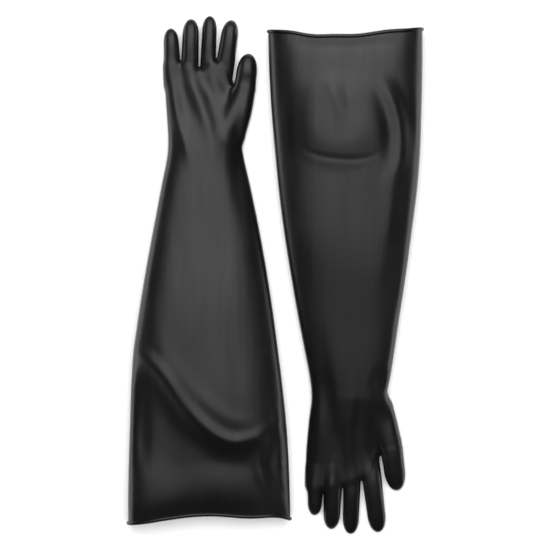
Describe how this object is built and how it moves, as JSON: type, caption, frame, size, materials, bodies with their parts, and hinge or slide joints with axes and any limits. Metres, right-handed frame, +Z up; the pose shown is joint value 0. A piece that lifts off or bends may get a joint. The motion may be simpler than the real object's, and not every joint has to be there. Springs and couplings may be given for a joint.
{
  "type": "electrical insulating gloves",
  "caption": "Pair of shoulder-length black rubber insulating gauntlets with tapered sleeves, rolled bead cuffs and bending fingers, lying palm up head to tail.",
  "frame": {"origin": "on the floor under the middle of the pair", "axes": "+Z up, +Y from the right glove's cuff towards its fingertips, +X from the right glove to the left glove"},
  "size_m": [0.4739, 0.829, 0.072],
  "materials": {
    "rubber_film": "satin black dipped rubber with faint lengthwise streaks",
    "cuff_bead": "glossier rolled black rubber edge"
  },
  "bodies": {
    "right_sleeve": {"right_upper_sleeve": "rubber_film", "right_cuff_bead": "cuff_bead"},
    "right_forearm": {"right_forearm_sleeve": "rubber_film"},
    "right_hand": {"right_palm": "rubber_film"},
    "right_thumb_base": {"right_thumb_base": "rubber_film"},
    "right_thumb_tip": {"right_thumb_tip": "rubber_film"},
    "right_index_base": {"right_index_base": "rubber_film"},
    "right_index_tip": {"right_index_tip": "rubber_film"},
    "right_middle_base": {"right_middle_base": "rubber_film"},
    "right_middle_tip": {"right_middle_tip": "rubber_film"},
    "right_ring_base": {"right_ring_base": "rubber_film"},
    "right_ring_tip": {"right_ring_tip": "rubber_film"},
    "right_little_base": {"right_little_base": "rubber_film"},
    "right_little_tip": {"right_little_tip": "rubber_film"},
    "left_sleeve": {"left_upper_sleeve": "rubber_film", "left_cuff_bead": "cuff_bead"},
    "left_forearm": {"left_forearm_sleeve": "rubber_film"},
    "left_hand": {"left_palm": "rubber_film"},
    "left_thumb_base": {"left_thumb_base": "rubber_film"},
    "left_thumb_tip": {"left_thumb_tip": "rubber_film"},
    "left_index_base": {"left_index_base": "rubber_film"},
    "left_index_tip": {"left_index_tip": "rubber_film"},
    "left_middle_base": {"left_middle_base": "rubber_film"},
    "left_middle_tip": {"left_middle_tip": "rubber_film"},
    "left_ring_base": {"left_ring_base": "rubber_film"},
    "left_ring_tip": {"left_ring_tip": "rubber_film"},
    "left_little_base": {"left_little_base": "rubber_film"},
    "left_little_tip": {"left_little_tip": "rubber_film"}
  },
  "joints": [
    {"name": "right_elbow", "type": "hinge", "parent": "right_sleeve", "child": "right_forearm", "pos_m": [-0.111, -0.0515, 0.0622], "axis": [1, 0, 0], "range_deg": [0, 110]},
    {"name": "right_wrist", "type": "hinge", "parent": "right_forearm", "child": "right_hand", "pos_m": [-0.111, 0.1915, 0.0465], "axis": [1, 0, 0], "range_deg": [0, 75]},
    {"name": "right_thumb_knuckle", "type": "hinge", "parent": "right_hand", "child": "right_thumb_base", "pos_m": [-0.049, 0.2985, 0.0355], "axis": [0.8192, -0.5736, 0], "range_deg": [0, 50]},
    {"name": "right_thumb_bend", "type": "hinge", "parent": "right_thumb_base", "child": "right_thumb_tip", "pos_m": [-0.04578, 0.3238, 0.0355], "axis": [0.8192, -0.5736, 0], "range_deg": [0, 50]},
    {"name": "right_index_knuckle", "type": "hinge", "parent": "right_hand", "child": "right_index_base", "pos_m": [-0.079, 0.3455, 0.0285], "axis": [0.9896, -0.1437, 0], "range_deg": [0, 85]},
    {"name": "right_index_bend", "type": "hinge", "parent": "right_index_base", "child": "right_index_tip", "pos_m": [-0.07486, 0.37402, 0.0285], "axis": [0.9896, -0.1437, 0], "range_deg": [0, 85]},
    {"name": "right_middle_knuckle", "type": "hinge", "parent": "right_hand", "child": "right_middle_base", "pos_m": [-0.108, 0.3435, 0.0265], "axis": [0.9991, -0.0422, 0], "range_deg": [0, 85]},
    {"name": "right_middle_bend", "type": "hinge", "parent": "right_middle_base", "child": "right_middle_tip", "pos_m": [-0.10662, 0.37616, 0.0265], "axis": [0.9991, -0.0422, 0], "range_deg": [0, 85]},
    {"name": "right_ring_knuckle", "type": "hinge", "parent": "right_hand", "child": "right_ring_base", "pos_m": [-0.136, 0.3435, 0.0285], "axis": [0.9995, -0.0303, 0], "range_deg": [0, 85]},
    {"name": "right_ring_bend", "type": "hinge", "parent": "right_ring_base", "child": "right_ring_tip", "pos_m": [-0.13508, 0.37386, 0.0285], "axis": [0.9995, -0.0303, 0], "range_deg": [0, 85]},
    {"name": "right_little_knuckle", "type": "hinge", "parent": "right_hand", "child": "right_little_base", "pos_m": [-0.164, 0.3435, 0.0255], "axis": [0.9992, 0.0392, 0], "range_deg": [0, 85]},
    {"name": "right_little_bend", "type": "hinge", "parent": "right_little_base", "child": "right_little_tip", "pos_m": [-0.16492, 0.36696, 0.0255], "axis": [0.9992, 0.0392, 0], "range_deg": [0, 85]},
    {"name": "left_glove_slide", "type": "slide", "parent": "right_sleeve", "child": "left_sleeve", "axis": [1, 0, 0], "range_m": [0, 0.1]},
    {"name": "left_elbow", "type": "hinge", "parent": "left_sleeve", "child": "left_forearm", "pos_m": [0.1195, 0.0515, 0.0622], "axis": [-1, 0, 0], "range_deg": [0, 110]},
    {"name": "left_wrist", "type": "hinge", "parent": "left_forearm", "child": "left_hand", "pos_m": [0.1195, -0.1915, 0.0465], "axis": [-1, 0, 0], "range_deg": [0, 75]},
    {"name": "left_thumb_knuckle", "type": "hinge", "parent": "left_hand", "child": "left_thumb_base", "pos_m": [0.1835, -0.2795, 0.0365], "axis": [-0.8192, -0.5736, 0], "range_deg": [0, 50]},
    {"name": "left_thumb_bend", "type": "hinge", "parent": "left_thumb_base", "child": "left_thumb_tip", "pos_m": [0.18764, -0.3094, 0.0365], "axis": [-0.8192, -0.5736, 0], "range_deg": [0, 50]},
    {"name": "left_index_knuckle", "type": "hinge", "parent": "left_hand", "child": "left_index_base", "pos_m": [0.1545, -0.3295, 0.0305], "axis": [-0.9926, -0.1211, 0], "range_deg": [0, 85]},
    {"name": "left_index_bend", "type": "hinge", "parent": "left_index_base", "child": "left_index_tip", "pos_m": [0.1591, -0.36722, 0.0305], "axis": [-0.9926, -0.1211, 0], "range_deg": [0, 85]},
    {"name": "left_middle_knuckle", "type": "hinge", "parent": "left_hand", "child": "left_middle_base", "pos_m": [0.1225, -0.3415, 0.0275], "axis": [-0.9996, 0.0274, 0], "range_deg": [0, 85]},
    {"name": "left_middle_bend", "type": "hinge", "parent": "left_middle_base", "child": "left_middle_tip", "pos_m": [0.12158, -0.37508, 0.0275], "axis": [-0.9996, 0.0274, 0], "range_deg": [0, 85]},
    {"name": "left_ring_knuckle", "type": "hinge", "parent": "left_hand", "child": "left_ring_base", "pos_m": [0.0925, -0.3485, 0.0285], "axis": [-0.9994, 0.0345, 0], "range_deg": [0, 85]},
    {"name": "left_ring_bend", "type": "hinge", "parent": "left_ring_base", "child": "left_ring_tip", "pos_m": [0.09158, -0.37518, 0.0285], "axis": [-0.9994, 0.0345, 0], "range_deg": [0, 85]},
    {"name": "left_little_knuckle", "type": "hinge", "parent": "left_hand", "child": "left_little_base", "pos_m": [0.0645, -0.3485, 0.0245], "axis": [-0.9996, 0.0278, 0], "range_deg": [0, 85]},
    {"name": "left_little_bend", "type": "hinge", "parent": "left_little_base", "child": "left_little_tip", "pos_m": [0.06404, -0.36506, 0.0245], "axis": [-0.9996, 0.0278, 0], "range_deg": [0, 85]}
  ],
  "couplings": [
    {"joint": "right_thumb_bend", "follows": "right_thumb_knuckle", "ratio": 1},
    {"joint": "right_index_bend", "follows": "right_index_knuckle", "ratio": 1},
    {"joint": "right_middle_bend", "follows": "right_middle_knuckle", "ratio": 1},
    {"joint": "right_ring_bend", "follows": "right_ring_knuckle", "ratio": 1},
    {"joint": "right_little_bend", "follows": "right_little_knuckle", "ratio": 1},
    {"joint": "left_thumb_bend", "follows": "left_thumb_knuckle", "ratio": 1},
    {"joint": "left_index_bend", "follows": "left_index_knuckle", "ratio": 1},
    {"joint": "left_middle_bend", "follows": "left_middle_knuckle", "ratio": 1},
    {"joint": "left_ring_bend", "follows": "left_ring_knuckle", "ratio": 1},
    {"joint": "left_little_bend", "follows": "left_little_knuckle", "ratio": 1}
  ]
}
